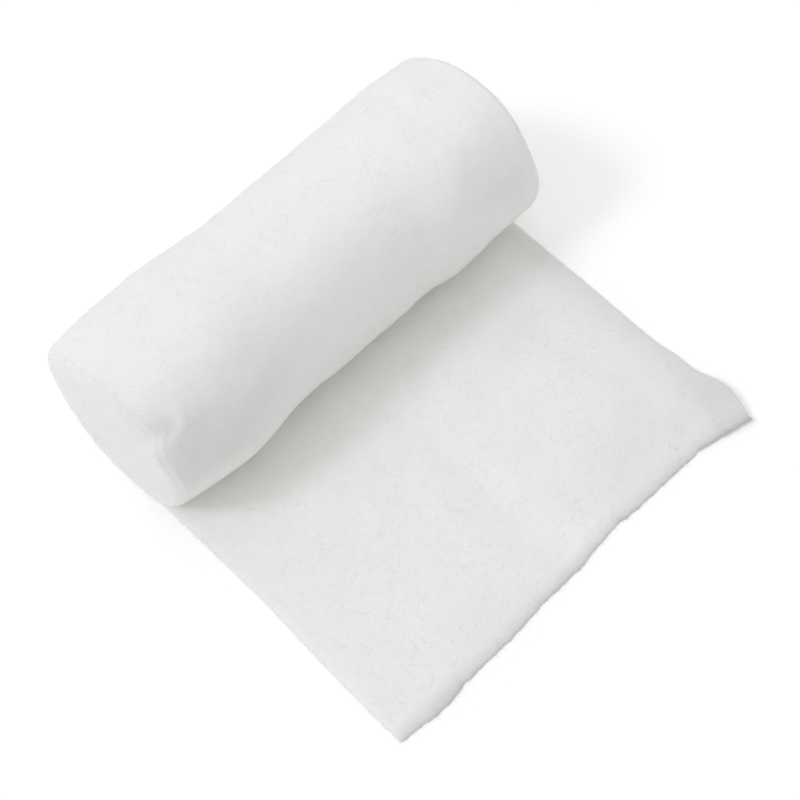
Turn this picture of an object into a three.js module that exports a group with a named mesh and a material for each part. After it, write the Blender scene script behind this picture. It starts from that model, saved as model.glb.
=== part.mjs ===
// Cast padding roll: one strip of soft white padding, wound on itself, with its outer end laid out flat.
// Lengths are millimetres and angles degrees. +Z is up, the roll's axis runs along X, and the loose end
// reaches towards -Y. The strip leaves the roll underneath, so a turn is followed from straight down
// (0) up the back (90), over the top (180) and down the front (270).
import * as THREE from "three";

// Driving dimensions
const STRIP_WIDTH = 150;
const ROLL_RADIUS = 31.2;
const ROLL_SINK = 1.1; // the roll presses its underside flat by this much
const LOOSE_REACH = 122; // from under the roll's axis to the free edge
const THICKNESS = 2.2; // of the loose end, away from its edges
const EDGE_THICKNESS = 0.9; // of the loose end at its sides and its free edge
const SIDE_ROUNDING = 3; // width of the band in which the sides thin out
const FREE_ROUNDING = 5; // the same along the free edge
const UNDER_ROUNDING = 0.4; // how far the lower edge curls off the surface
const LEFT_DOME = 4.5; // how far the middle of each end stands out of its rim
const RIGHT_DOME = 5.5;
const RIGHT_SHOULDER = 2.4; // radius of the right rim
const TWIST_PITCH = 4.8; // radial width of one bundle of turns, as the ends show them
const TWIST_DEPTH = 0.9; // depth of the groove between two bundles
const FIRST_GROOVE = 0.3; // where the first groove starts, as a share of TWIST_PITCH inside the rim
const GROOVE_START = 3; // a groove reaches its depth within the turn divided by this
const CORE_HOLLOW = 2.5; // depth of the soft pit where the winding starts
const CORE_SHARE = 0.13; // half width of the pit, as a share of the roll's radius
const COLOUR = 0xf4f4f1;

// Mesh density
const SHOULDER_STEPS = 3;
const MIDDLE_STEPS = 28;
const RIM_CLOSENESS = 0.6; // how much closer than in the middle the stations stand near the rims
const ARC_STEPS = 46;
const UNDER_ROLL_STEPS = 2;
const TWIST_ROWS = 10;
const ROW_STEPS = 40;

// How far the roll's surface stands off ROLL_RADIUS, on its back and on its front.
const SWELL = [
  { x: -75, back: -1.1, front: 0.1 },
  { x: -60, back: 0.4, front: 0.8 },
  { x: -40, back: 0.9, front: 0.6 },
  { x: -15, back: -0.7, front: -1.8 },
  { x: 15, back: -0.5, front: -1.1 },
  { x: 40, back: 0.0, front: -0.4 },
  { x: 60, back: 0.4, front: -0.5 },
  { x: 75, back: -0.7, front: 0.7 },
];
const BACK_ANGLE = 113; // where the back column holds in full; the front one does straight across
const EVEN_ANGLE = 16; // the swell starts past this angle from straight down, so the roll rests evenly
const SWELL_FADE = 45; // and comes in over this many degrees
const TOP_ANGLE = 180;
const LAST_ANGLE = 340; // about where the turn comes down on the loose end

// How far the outer turn reaches past half the strip's width, and the radius of its left rim.
const TURN_ENDS = [
  { angle: 0, left: 0.6, right: 0.2, leftShoulder: 0.4 },
  { angle: 45, left: 0.1, right: 0.0, leftShoulder: 2.5 },
  { angle: 90, left: 0.3, right: -0.2, leftShoulder: 3.5 },
  { angle: 135, left: 0.2, right: -0.6, leftShoulder: 4 },
  { angle: 180, left: 0.0, right: 1.6, leftShoulder: 4.5 },
  { angle: 225, left: -0.6, right: 1.8, leftShoulder: 6 },
  { angle: 248, left: 0.0, right: 2.3, leftShoulder: 3.5 },
  { angle: 265, left: -0.4, right: 2.6, leftShoulder: 2.5 },
  { angle: 300, left: 0.0, right: 1.2, leftShoulder: 1.2 },
  { angle: 340, left: 0.6, right: 0.2, leftShoulder: 0.4 },
];

// How far the loose end's two sides stand out of half the strip's width.
const LOOSE_SIDES = [
  { y: 0, left: 0.6, right: 0.2 },
  { y: -35, left: -0.5, right: -0.9 },
  { y: -60, left: -1.0, right: -1.5 },
  { y: -85, left: -0.4, right: -2.1 },
  { y: -102, left: -0.2, right: -1.6 },
  { y: -113, left: -0.2, right: 0.5 },
  { y: -124, left: -0.6, right: -2.4 },
];

// How far the free edge reaches past LOOSE_REACH.
const FREE_EDGE = [
  { x: -75, out: -0.3 },
  { x: -60, out: 1.4 },
  { x: -45, out: 0.3 },
  { x: -30, out: 0.4 },
  { x: -15, out: -0.5 },
  { x: 0, out: -0.3 },
  { x: 15, out: -1.8 },
  { x: 30, out: -1.2 },
  { x: 45, out: -1.0 },
  { x: 57, out: -0.2 },
  { x: 66, out: 1.6 },
  { x: 75, out: 4.0 },
];

// Soft swellings of the loose end, each with its middle, half widths and height.
// A lifted one raises the underside too; the others only thicken the padding.
const SWELLINGS = [
  { x: 72, y: -112, halfX: 14, halfY: 9, height: 2.8, lifted: true },
  { x: 78, y: -126, halfX: 12, halfY: 8, height: 2.4, lifted: true },
  { x: 1, y: -92, halfX: 6, halfY: 24, height: 0.5, lifted: false },
  { x: -30, y: -70, halfX: 34, halfY: 36, height: 0.3, lifted: false },
  { x: 84, y: -70, halfX: 20, halfY: 90, height: -0.9, lifted: false },
];

// Dents in the roll's surface, each with its middle, half widths and depth. The first is pressed into
// the left rim, and the second is the lip that it pushes up beside itself.
const DENTS = [
  { x: -68, angle: 223, halfX: 6, halfAngle: 13, depth: 2.6 },
  { x: -61, angle: 230, halfX: 3.5, halfAngle: 12, depth: -0.9 },
];

// Places of the loose end's rows, as shares of the way from the roll to the free edge.
const TOP_ROWS = [0.1, 0.2, 0.32, 0.44, 0.56, 0.66, 0.74, 0.8, 0.85, 0.9, 0.94, 0.965, 0.985, 1];
const UNDER_ROWS = [1, 0.965, 0.9, 0.8, 0.66, 0.4];

const HALF_WIDTH = STRIP_WIDTH / 2;
const AXIS_HEIGHT = ROLL_RADIUS - ROLL_SINK;

const radians = THREE.MathUtils.degToRad;
const degrees = THREE.MathUtils.radToDeg;
const square = (value) => value * value;

// A soft bump: 1 at its middle, under half at its half widths and nothing past twice those.
function bump(one, other) {
  return Math.max(1 - (square(one) + square(other)) / 4, 0) ** 3;
}

// A smooth curve through a table's column: cubic between rows, with the neighbours' slope at each row.
function column(table, place, name) {
  const rows = [...table].sort((a, b) => a[place] - b[place]);
  const slope = (i) => {
    const before = rows[Math.max(i - 1, 0)];
    const after = rows[Math.min(i + 1, rows.length - 1)];
    return (after[name] - before[name]) / (after[place] - before[place]);
  };
  return (at) => {
    const next = rows.findIndex((row) => row[place] >= at);
    if (next === 0) return rows[0][name];
    if (next < 0) return rows.at(-1)[name];
    const [low, high] = [rows[next - 1], rows[next]];
    const span = high[place] - low[place];
    const t = (at - low[place]) / span;
    return (
      low[name] * (2 * t ** 3 - 3 * t ** 2 + 1) +
      high[name] * (3 * t ** 2 - 2 * t ** 3) +
      span * (slope(next - 1) * (t ** 3 - 2 * t ** 2 + t) + slope(next) * (t ** 3 - t ** 2))
    );
  };
}

const swellBack = column(SWELL, "x", "back");
const swellFront = column(SWELL, "x", "front");
const turnLeft = column(TURN_ENDS, "angle", "left");
const turnRight = column(TURN_ENDS, "angle", "right");
const leftShoulder = column(TURN_ENDS, "angle", "leftShoulder");
const looseLeft = column(LOOSE_SIDES, "y", "left");
const looseRight = column(LOOSE_SIDES, "y", "right");
const freeEdge = column(FREE_EDGE, "x", "out");

// Stations across the strip. Each has a place between two rims and a fullness: 0 on a rim, where the
// side is thinned or rounded away, and 1 past its rounding.
function stations() {
  const list = [];
  for (let i = 0; i < SHOULDER_STEPS; i++) {
    const turn = (Math.PI / 2) * (i / SHOULDER_STEPS);
    list.push({ rim: "left", inset: 1 - Math.cos(turn), full: Math.sin(turn) });
  }
  for (let i = 0; i <= MIDDLE_STEPS; i++) {
    const even = i / MIDDLE_STEPS;
    const share = even - (RIM_CLOSENESS * Math.sin(2 * Math.PI * even)) / (2 * Math.PI);
    list.push({ share, full: 1 });
  }
  for (let i = SHOULDER_STEPS - 1; i >= 0; i--) {
    const turn = (Math.PI / 2) * (i / SHOULDER_STEPS);
    list.push({ rim: "right", inset: 1 - Math.cos(turn), full: Math.sin(turn) });
  }
  return list;
}

// A station's x between two rims that are rounded over the given widths.
function across(station, left, right, leftRound, rightRound) {
  if (station.rim === "left") return left + leftRound * station.inset;
  if (station.rim === "right") return right - rightRound * station.inset;
  return THREE.MathUtils.lerp(left + leftRound, right - rightRound, station.share);
}

function rollRadius(x, angle) {
  const back = (1 + Math.cos(radians(angle - BACK_ANGLE))) / 2;
  const fromBottom = Math.min(angle, 360 - angle);
  const fade = THREE.MathUtils.smoothstep(fromBottom, EVEN_ANGLE, EVEN_ANGLE + SWELL_FADE);
  const swell = fade * (back * swellBack(x) + (1 - back) * swellFront(x));
  const dents = DENTS.map(
    (dent) => dent.depth * bump((x - dent.x) / dent.halfX, (angle - dent.angle) / dent.halfAngle),
  );
  return ROLL_RADIUS + swell - dents.reduce((sum, depth) => sum + depth, 0);
}

// A point of the roll's surface, at a station and an angle of the outer turn.
function onRoll(station, angle) {
  const shoulder = { left: leftShoulder(angle), right: rightShoulder(angle) };
  const left = -HALF_WIDTH - turnLeft(angle);
  const right = HALF_WIDTH + turnRight(angle);
  const x = across(station, left, right, shoulder.left, shoulder.right);
  const rounded = station.rim ? shoulder[station.rim] * (1 - station.full) : 0;
  const radius = rollRadius(x, angle) - rounded;
  return new THREE.Vector3(
    x,
    radius * Math.sin(radians(angle)),
    AXIS_HEIGHT - radius * Math.cos(radians(angle)),
  );
}

// The right rim keeps its radius, but for the two stretches that lead into the loose end.
function rightShoulder(angle) {
  const clear = Math.min(angle, LAST_ANGLE - angle) / SWELL_FADE;
  return Math.max(RIGHT_SHOULDER * Math.min(clear, 1), UNDER_ROUNDING);
}

// A point of the loose end, at a station and a share of the way from the roll to the free edge.
function onLooseEnd(station, nipY, share, top) {
  const guess = across(station, -HALF_WIDTH, HALF_WIDTH, SIDE_ROUNDING, SIDE_ROUNDING);
  const reach = LOOSE_REACH + freeEdge(guess);
  const y = THREE.MathUtils.lerp(nipY, -reach, share);
  const left = -HALF_WIDTH - looseLeft(y);
  const right = HALF_WIDTH + looseRight(y);
  const x = across(station, left, right, SIDE_ROUNDING, SIDE_ROUNDING);
  const fromFree = THREE.MathUtils.clamp((reach + y) / FREE_ROUNDING, 0, 1);
  const full = station.full * Math.sqrt(1 - square(1 - fromFree));
  let lift = UNDER_ROUNDING * (1 - full);
  let padding = THICKNESS;
  for (const swelling of SWELLINGS) {
    const height =
      swelling.height * bump((x - swelling.x) / swelling.halfX, (y - swelling.y) / swelling.halfY);
    if (swelling.lifted) lift += height;
    else padding += height;
  }
  const thick = THREE.MathUtils.lerp(EDGE_THICKNESS, padding, full);
  return new THREE.Vector3(x, y, top ? lift + thick : lift);
}

// One closed section of the strip at a station, in the order of the turn's angle: the underside of the
// roll, its turn, the loose end's top out to the free edge, and the loose end's underside back again.
function section(station) {
  const middle = onRoll({ ...station, full: 1 }, TOP_ANGLE).x;
  const backAngle = degrees(Math.acos(AXIS_HEIGHT / ROLL_RADIUS));
  const nipHeight = onLooseEnd(station, -ROLL_RADIUS / 2, 0, true).z;
  const nipRadius = rollRadius(middle, LAST_ANGLE);
  const nipAngle = 360 - degrees(Math.acos((AXIS_HEIGHT - nipHeight) / nipRadius));
  const turn = [];
  for (let i = 0; i <= ARC_STEPS; i++) {
    turn.push(onRoll(station, THREE.MathUtils.lerp(backAngle, nipAngle, i / ARC_STEPS)));
  }
  const nip = turn.at(-1);
  const top = TOP_ROWS.map((share) => onLooseEnd(station, nip.y, share, true));
  const under = UNDER_ROWS.map((share) => onLooseEnd(station, nip.y, share, false));
  const underNip = onLooseEnd(station, nip.y, 0, false);
  nip.z = onLooseEnd(station, nip.y, 0, true).z;
  const flat = [];
  for (let i = 1; i <= UNDER_ROLL_STEPS; i++) {
    flat.push(underNip.clone().lerp(turn[0], i / (UNDER_ROLL_STEPS + 1)));
  }
  return { turn, top, under: [...under, underNip], flat };
}

// How far an end face stands out of its rim at a share of the rim's radius: a dome with a pit in it.
function endRelief(dome, share) {
  return dome * (1 - square(share)) - CORE_HOLLOW * Math.exp(-square(share / CORE_SHARE));
}

// Collects points and triangles. With flip set, triangles are turned over.
class Skin {
  points = [];
  triangles = [];
  add(point) {
    this.points.push(point);
    return this.points.length - 1;
  }
  triangle(a, b, c, flip = false) {
    this.triangles.push(...(flip ? [a, c, b] : [a, b, c]));
  }
  quad(a, b, c, d, flip = false) {
    this.triangle(a, b, c, flip);
    this.triangle(a, c, d, flip);
  }
}

// Fills the band between two lines of points that run side by side, always with the nearer next point.
function fillBand(skin, one, other, progress, flip) {
  let [i, j] = [0, 0];
  while (i + 1 < one.length || j + 1 < other.length) {
    const nextOne = i + 1 < one.length ? progress(skin.points[one[i + 1]]) : Infinity;
    const nextOther = j + 1 < other.length ? progress(skin.points[other[j + 1]]) : Infinity;
    if (nextOne <= nextOther) {
      skin.triangle(one[i], one[i + 1], other[j], flip);
      i += 1;
    } else {
      skin.triangle(one[i], other[j + 1], other[j], flip);
      j += 1;
    }
  }
}

// Closes one end of the roll with rows that wind inwards, a groove and a crown for each bundle of turns.
// Two rows start side by side and both move in by one bundle a turn, so a row's last point is followed
// by the first point of the row two further in.
function closeEnd(skin, ring, rimStation, dome, side) {
  const middleX = side * HALF_WIDTH;
  const angleOf = ({ y, z }) => degrees(Math.atan2(y, AXIS_HEIGHT - z));
  const start = angleOf(skin.points[ring[0]]);
  const rows = [];
  for (let k = 0; k < TWIST_ROWS; k++) {
    const groove = k % 2 === 0 ? TWIST_DEPTH : 0;
    const row = [];
    for (let j = 0; j < ROW_STEPS; j++) {
      const wound = j / ROW_STEPS;
      const angle = (start + 360 * wound) % 360;
      const rim = onRoll(rimStation, angle);
      const depth = TWIST_PITCH * (FIRST_GROOVE + k / 2 + wound);
      const share = 1 - depth / (ROLL_RADIUS - RIGHT_SHOULDER);
      const out = endRelief(dome, share) - groove * Math.min(k + wound * GROOVE_START, 1);
      const x = THREE.MathUtils.lerp(middleX, rim.x, square(share)) + side * out;
      row.push(skin.add(new THREE.Vector3(x, rim.y * share, AXIS_HEIGHT + (rim.z - AXIS_HEIGHT) * share)));
    }
    rows.push(row);
  }
  const flip = side < 0;
  const last = ROW_STEPS - 1;
  const progress = (point) => THREE.MathUtils.euclideanModulo(angleOf(point) - start, 360);
  fillBand(skin, ring, rows[0], progress, flip);
  skin.quad(ring.at(-1), ring[0], rows[0][0], rows[0][last], flip);
  skin.quad(rows[0][last], rows[0][0], rows[1][0], rows[2][0], flip);
  for (let k = 0; k + 1 < TWIST_ROWS; k++) {
    for (let j = 0; j < last; j++) {
      skin.quad(rows[k][j], rows[k][j + 1], rows[k + 1][j + 1], rows[k + 1][j], flip);
    }
    if (k + 3 < TWIST_ROWS) skin.quad(rows[k][last], rows[k + 2][0], rows[k + 3][0], rows[k + 1][last], flip);
  }
  const [outer, next, inner] = rows.slice(-3);
  skin.triangle(inner[0], next[last], outer[last], flip);
  skin.triangle(inner[0], inner[last], next[last], flip);
  const centre = skin.add(new THREE.Vector3(middleX + side * endRelief(dome, 0), 0, AXIS_HEIGHT));
  for (let j = 0; j < last; j++) skin.triangle(inner[j], inner[j + 1], centre, flip);
  skin.triangle(inner[last], inner[0], centre, flip);
}

function stripGeometry() {
  const skin = new Skin();
  const sections = stations().map((station) => {
    const part = section(station);
    const ids = Object.fromEntries(
      Object.entries(part).map(([name, points]) => [name, points.map((point) => skin.add(point))]),
    );
    return { ...ids, station, loop: [...ids.turn, ...ids.top, ...ids.under, ...ids.flat] };
  });
  for (let i = 0; i + 1 < sections.length; i++) {
    const [here, next] = [sections[i].loop, sections[i + 1].loop];
    here.forEach((id, j) => {
      const k = (j + 1) % here.length;
      skin.quad(id, here[k], next[k], next[j]);
    });
  }
  const ends = [
    { side: -1, rim: sections[0], dome: LEFT_DOME },
    { side: 1, rim: sections.at(-1), dome: RIGHT_DOME },
  ];
  for (const { side, rim, dome } of ends) {
    closeEnd(skin, [...rim.turn, rim.under.at(-1), ...rim.flat], rim.station, dome, side);
    const top = [rim.turn.at(-1), ...rim.top];
    fillBand(skin, top, [...rim.under].reverse(), (point) => -point.y, side < 0);
  }
  const geometry = new THREE.BufferGeometry().setFromPoints(skin.points);
  geometry.setIndex(skin.triangles);
  geometry.computeVertexNormals();
  return geometry;
}

const padding = new THREE.MeshStandardMaterial({ color: COLOUR, roughness: 0.95, metalness: 0 });
const roll = new THREE.Mesh(stripGeometry(), padding);
roll.name = "padding_roll";

// The part's origin lies under the middle of its box.
const box = new THREE.Box3().setFromObject(roll);
const middle = box.getCenter(new THREE.Vector3());
roll.position.set(-middle.x, -middle.y, -box.min.z);

const group = new THREE.Group();
group.add(roll);

export default group;
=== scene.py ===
"""Cast padding roll: one strip of soft white padding, wound on itself, with its outer end laid out flat.

The strip is one closed surface, from its free edge, along the flat end and under the roll, up the back
and on through every turn to the middle. Tables and formulas are in millimetres and degrees, with the
roll's axis along X, y = 0 under the axis and the loose end towards -Y. A turn is followed from straight
down (0) up the back (90), over the top (180) and down the front (270).
"""

import math
from functools import partial

import bpy
import numpy as np
from bpy.props import FloatProperty, FloatVectorProperty, IntProperty, PointerProperty
from mathutils import Matrix, Vector


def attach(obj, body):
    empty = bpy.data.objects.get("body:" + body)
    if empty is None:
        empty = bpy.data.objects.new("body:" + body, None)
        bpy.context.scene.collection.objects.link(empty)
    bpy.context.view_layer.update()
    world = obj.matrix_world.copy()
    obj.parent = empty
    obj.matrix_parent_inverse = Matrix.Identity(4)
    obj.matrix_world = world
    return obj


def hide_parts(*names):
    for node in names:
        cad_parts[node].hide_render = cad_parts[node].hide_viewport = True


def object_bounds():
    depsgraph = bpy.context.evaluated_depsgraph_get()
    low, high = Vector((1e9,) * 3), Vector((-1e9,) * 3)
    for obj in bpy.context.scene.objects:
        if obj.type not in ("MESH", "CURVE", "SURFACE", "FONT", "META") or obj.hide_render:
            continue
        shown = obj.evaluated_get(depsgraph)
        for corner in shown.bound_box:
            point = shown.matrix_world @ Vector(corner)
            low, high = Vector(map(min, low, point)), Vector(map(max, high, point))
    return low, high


bl_info = {
    "name": "Cast padding roll",
    "version": (1, 0, 0),
    "blender": (4, 5, 0),
    "location": "3D View > Sidebar > Padding Roll",
    "description": "Makes a wound strip of soft white padding, its stray fibres and its stage",
    "category": "Mesh",
}

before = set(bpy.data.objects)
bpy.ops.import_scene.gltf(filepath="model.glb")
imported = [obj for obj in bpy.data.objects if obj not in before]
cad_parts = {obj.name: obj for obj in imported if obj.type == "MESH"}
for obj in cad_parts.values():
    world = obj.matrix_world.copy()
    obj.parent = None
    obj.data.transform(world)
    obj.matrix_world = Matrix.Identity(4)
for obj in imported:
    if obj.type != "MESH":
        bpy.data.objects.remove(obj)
cad_low, cad_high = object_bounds()

MM = 0.001
NODE = "padding_roll"
BODY = "root"
ZERO = (-0.55, 46.93, 0.0)  # where the tables' zero, under the middle of the roll's axis, lies in the frame
SIDE_NAMES = {-1: "left", 1: "right"}


def table(names, *rows):
    """Rows of numbers as a dict of columns, one for each name."""
    return dict(zip(names.split(), np.array(rows, float).T))


def smooth_curve(at, values, where):
    """The curve through values at some places: cubic between two, with the neighbours' slope at each."""
    index = np.arange(len(at))
    before, after = np.maximum(index - 1, 0), np.minimum(index + 1, len(at) - 1)
    slope = (values[after] - values[before]) / (at[after] - at[before])
    where = np.clip(where, at[0], at[-1])
    low = np.clip(np.searchsorted(at, where) - 1, 0, len(at) - 2)
    span = at[low + 1] - at[low]
    t = (where - at[low]) / span
    levels = values[low] * (2 * t**3 - 3 * t**2 + 1) + values[low + 1] * (3 * t**2 - 2 * t**3)
    return levels + span * (slope[low] * (t**3 - 2 * t**2 + t) + slope[low + 1] * (t**3 - t**2))


def curves(names, *rows):
    """Rows of numbers as a dict of smooth curves over their first column, one for each other name."""
    columns = table(names, *rows)
    at = columns.pop(names.split()[0])
    return {name: partial(smooth_curve, at, values) for name, values in columns.items()}


# How far the roll's surface stands off its radius, at its back and its front.
SWELL = curves(
    "x back front",
    (-75, -1.1, -1.4),
    (-60, 0.4, 1),
    (-50, 0.75, 1.9),
    (-40, 0.9, 1.3),
    (-30, 0.35, -0.3),
    (-15, -0.7, -0.9),
    (15, -0.5, -0.8),
    (30, -0.15, -0.8),
    (40, 0, 0.7),
    (50, 0.2, 0.6),
    (60, 0.4, 0),
    (75, -0.7, 0),
)
BACK_ANGLE = 113  # where the back column holds in full
EVEN_ANGLE = 16  # the swell starts past this angle from straight down
SWELL_FADE = 45  # and comes in over this many degrees, as the right rim does
LAST_ANGLE = 340  # about where the outer turn comes down on the loose end
DETAIL_FADE = 25  # degrees over which creases and noise come in from there and from 0

# A low ridge along the roll, between a flatter top and a flatter front.
RIDGE = curves(
    "x angle height",
    (-75, 213, 1.5),
    (-60, 210, 2.6),
    (-45, 209, 2.6),
    (-28, 209, 2.5),
    (-10, 210, 2.1),
    (15, 209, 1.9),
    (32, 214, 1.6),
    (48, 219, 1.9),
    (60, 211, 1.8),
    (75, 211, 1.6),
)
RIDGE_HALF_ANGLE = 18
HOLLOW_PAST = 36  # degrees from the ridge to the shallow hollow below it
HOLLOW_SHARE = 0.35  # its depth, as a share of the ridge's height

# How far the outer turn reaches past half the strip's width, how far its left rim reaches in along the
# roll, and how much of that rim is a straight slope and not a quarter circle.
TURN_ENDS = curves(
    "angle left right left_rim left_slope",
    (0, 0.6, 0.2, 0.4, 0),
    (45, -0.4, -0.6, 2, 0),
    (90, -0.6, -0.9, 2.6, 0),
    (135, -0.9, -1.3, 3.4, 0),
    (180, -1.4, 0.9, 4.6, 0),
    (205, -2.2, 1, 5.2, 0),
    (218, -2.6, 1.1, 6.5, 0),
    (226, -2.6, 1.2, 6, 0.3),
    (234, -2.1, 1.4, 2.4, 1),
    (242, -1.9, 1.5, 1.7, 1),
    (254, -1.8, 1.7, 1.9, 1),
    (270, -1.6, 1.9, 2.2, 0.9),
    (300, -0.6, 0.5, 1.4, 0.3),
    (340, 0.6, 0.2, 0.4, 0),
    (360, 0.6, 0.2, 0.4, 0),
)
RIGHT_RIM = 1.7  # how far the right one reaches in

# How far the loose end's two sides stand out of half the strip's width.
LOOSE_SIDES = curves(
    "y left right",
    (-124, -0.6, -2.4),
    (-113, -0.2, 0.1),
    (-102, -0.2, -1.5),
    (-94, -0.3, -1.2),
    (-85, -0.4, -2.1),
    (-60, -1, -1.5),
    (-35, -0.5, -0.9),
    (0, 0.6, 0.2),
)

# How far the free edge reaches past its usual reach.
FREE_EDGE = curves(
    "x out",
    (-75, -0.3),
    (-60, 1.4),
    (-45, 0.3),
    (-30, 0.4),
    (-15, -0.5),
    (0, -0.3),
    (15, -1.8),
    (30, -1.2),
    (45, -1),
    (57, -0.2),
    (66, 1.6),
    (75, 4),
)

# Small cusps where the torn free edge steps in.
NOTCHES = table(
    "x depth half_width",
    (-50, 0.7, 3.5),
    (-16, 0.5, 2.5),
    (-4, 0.5, 2.5),
    (8.5, 0.5, 2.5),
    (19.5, 0.7, 4),
    (55, 0.9, 4),
)

# Where the loose end is lifted off what it lies on, and where its padding is thicker or flatter.
LIFTED_PLACES = table(
    "x y half_x half_y height",
    (72, -112, 14, 9, 2.8),
    (78, -126, 12, 8, 1.2),
)
SWELLINGS = table(
    "x y half_x half_y height",
    (-30, -70, 34, 36, 0.3),
    (84, -70, 20, 90, -0.9),
)

# The dimple pressed into the roll beside its left rim.
DIMPLES = table(
    "x angle half_x half_angle depth",
    (-67.8, 225, 3.8, 7.5, 0.9),
)

# Creases (height below 0) and low ridges of the loose end's top, each from one place to another.
LOOSE_CREASES = table(
    "x y to_x to_y half_width height",
    (-1.5, -64, -1.5, -112, 5.5, -0.8),
    (-22, -58, -22, -73, 5, -0.25),
    (62.6, -106, 62.6, -117, 2.5, 0.6),
    (60, -109, 51.5, -117, 3, -0.5),
    (50, -56, 52, -78, 4, -0.35),
    (33, -84, 38, -86, 4, 0.25),
    (-62, -88, -70, -78, 4, -0.2),
)

# The same on the roll, where the two ridges at the left rim are the dimple's lip.
ROLL_CREASES = table(
    "x angle to_x to_angle half_width height",
    (52.5, 146, 53.5, 177, 1.7, -0.35),
    (62.5, 170, 63.5, 184, 1.6, -0.35),
    (36, 182, 41, 196, 1.8, -0.35),
    (42.5, 184, 43.5, 196, 2.2, 0.2),
    (-59, 187, -47, 202, 2.2, -0.3),
    (-54, 200, -53, 222, 3, -0.3),
    (-33, 215, -28, 223, 1.8, -0.3),
    (-37, 183, -34, 188, 1.6, -0.2),
    (70.5, 213, 71.5, 222, 1.6, -0.25),
    (-60.7, 222, -62, 230, 1.4, 0.35),
    (-62, 230, -67, 235, 1.4, 0.35),
    (50, 212, 44, 236, 4, 0.4),
    (12, 198, 22, 212, 4, -0.25),
    (-8, 206, 4, 199, 3.5, 0.2),
)

# Places of painted shade on the loose end and on the roll: soft patches where the padding's colour is
# darkened for shade, along the loose end's right margin and lifted corner, near its free edge and next to
# the roll, and on the roll's shaded front and in its dimple.
PAINTED_SHADE_PLACES = table(
    "x y half_x half_y share",
    (78, -80, 12, 50, 0.36),
    (68, -113, 8, 11, 0.22),
    (74, -34, 8, 14, 0.15),
    (42, -108, 22, 16, 0.16),
    (56, -112, 5, 4, 0.1),
    (52, -76, 8, 22, 0.08),
    (48, -52, 22, 8, 0.1),
    (-28, -116, 18, 11, 0.08),
    (-58, -121, 12, 3, 0.2),
    (-2, -121, 8, 3, 0.15),
)
ROLL_PAINTED_SHADE_PLACES = table(
    "x angle half_x half_angle share",
    (-67, 225, 4, 6, 0.2),
    (-56, 232, 9, 6, 0.14),
    (-62, 241, 13, 8, 0.18),
    (-58, 257, 22, 15, 0.28),
    (-34, 244, 14, 8, 0.1),
    (5, 246, 45, 10, 0.05),
    (66, 249, 11, 12, 0.13),
)

CORE_HOLLOW = 2.5  # depth of the soft pit where the winding starts
CORE_SHARE = 0.13  # half width of the pit, as a share of the roll's radius
SIDE_ROUNDING = 3  # width of the band in which the loose end's sides thin out
FREE_ROUNDING = 6  # the same along its free edge
UNDER_ROUNDING = 0.22  # how far its lower edge curls off the surface
TIP_ROUNDING = 0.45  # radius of the cut edge itself
TIP_BLUNTNESS = 0.02  # how much shorter it is at the free edge's tip
FREE_SHARE = 0.35  # thickness of the free edge, next to the sides'
LOOSE_END_GREYING = 0.045  # how much greyer the whole loose end is painted than the roll
PAINTED_SHADE_BANDS = ((6, 0.5), (1.3, 0.3))  # width of each band of painted shade along the free edge, where it curls under and meets what it lies on, and how dark it is there
GAP_SHARE = 0.012  # of a turn's pitch that is left open between two turns
PRESSED_SHARE = 0.85  # of their thickness that turns keep under the roll
SEAM_TURNS = 6  # the step over the loose end is spread out over this many turns
GROOVE_TURN = 1 / 3  # of a turn, over which the outermost groove of an end comes in
GROOVE_BUNDLE = 1 / 4  # of a bundle, over which the grooves inside it do

# Soft noise. Each layer of it has its share of the unevenness, its size and its seed.
WAVES = 20
LONGEST_WAVE = 2.5  # next to the shortest one
ROLL_NOISE = ((1, 16, 3), (0.3, 5, 4))
LOOSE_NOISE = ((0.6, 14, 6),)
RAGGED_HEIGHT, RAGGED_SIZE, RAGGED_SEED = 0.12, 2.2, 5  # of the free edge

# Grid steps of the strip. A row is one section, and a column follows the strip.
COLUMNS = 112
COARSE_COLUMNS = 7
EDGE_THROUGH = (-0.99, -0.8, -0.45, 0, 0.45, 0.8, 0.99)  # places through the thickness at a cut edge
EDGE_STEPS = len(EDGE_THROUGH)
HALF_LOOP = COLUMNS + 1 + EDGE_STEPS
COLUMN_CLOSENESS = 0.4  # how much closer the columns stand near the cut edges
LOOSE_STEPS = 76
LOOSE_CLOSENESS = 1.6  # the power that brings the loose end's rows closer at its free edge
OUTER_END = 372  # past 360, where the rows of the next turn start
OUTER_ROWS = ((3, 180, 4), (180, 206, 3), (206, 250, 1.7), (250, OUTER_END, 3.4))  # start, end, step
FINE_TURNS = 3  # turns below the outer one that have its rows
INNER_ROWS = ((1452, 4320, 5.6), (4320, 9000, 7.5))

# Where the stray fibres grow: their share, their length and lift next to the usual, and which way they
# lean.
FIBRE_BEDS = (
    ("top", 0.34, 1, 0.7, 0, 0),
    ("free", 0.05, 0.45, 0.8, 0, -1),
    ("roll", 0.35, 1, 0.8, 0, 0),
    ("front", 0.08, 0.6, 1.5, 0, -0.5),
    ("left_end", 0.05, 1, 0.8, 0, 0),
    ("right_end", 0.05, 1, 0.8, 0, 0),
    ("left_rim", 0.02, 0.7, 0.8, -0.5, 0),
    ("right_rim", 0.02, 0.7, 0.8, 0.5, 0),
    ("left_side", 0.02, 0.4, 0.8, -1, 0),
    ("right_side", 0.02, 0.4, 0.8, 1, 0),
)
ROLL_BED = (40, 310)  # the angles that the bed lies between
FRONT_BED = (246, 296)
FREE_BED = 1.2  # its width, from the free edge on
FIBRE_SEED = 11
FIBRE_LENGTHS = (0.5, 1.5)  # the shortest and the longest, next to the usual one of their bed
FIBRE_LIFTS = (0.2, 1.6)  # the same for how far they stand off
FIBRE_BEND = 0.3  # how far fibres usually bend aside, as a share of their length
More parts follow.
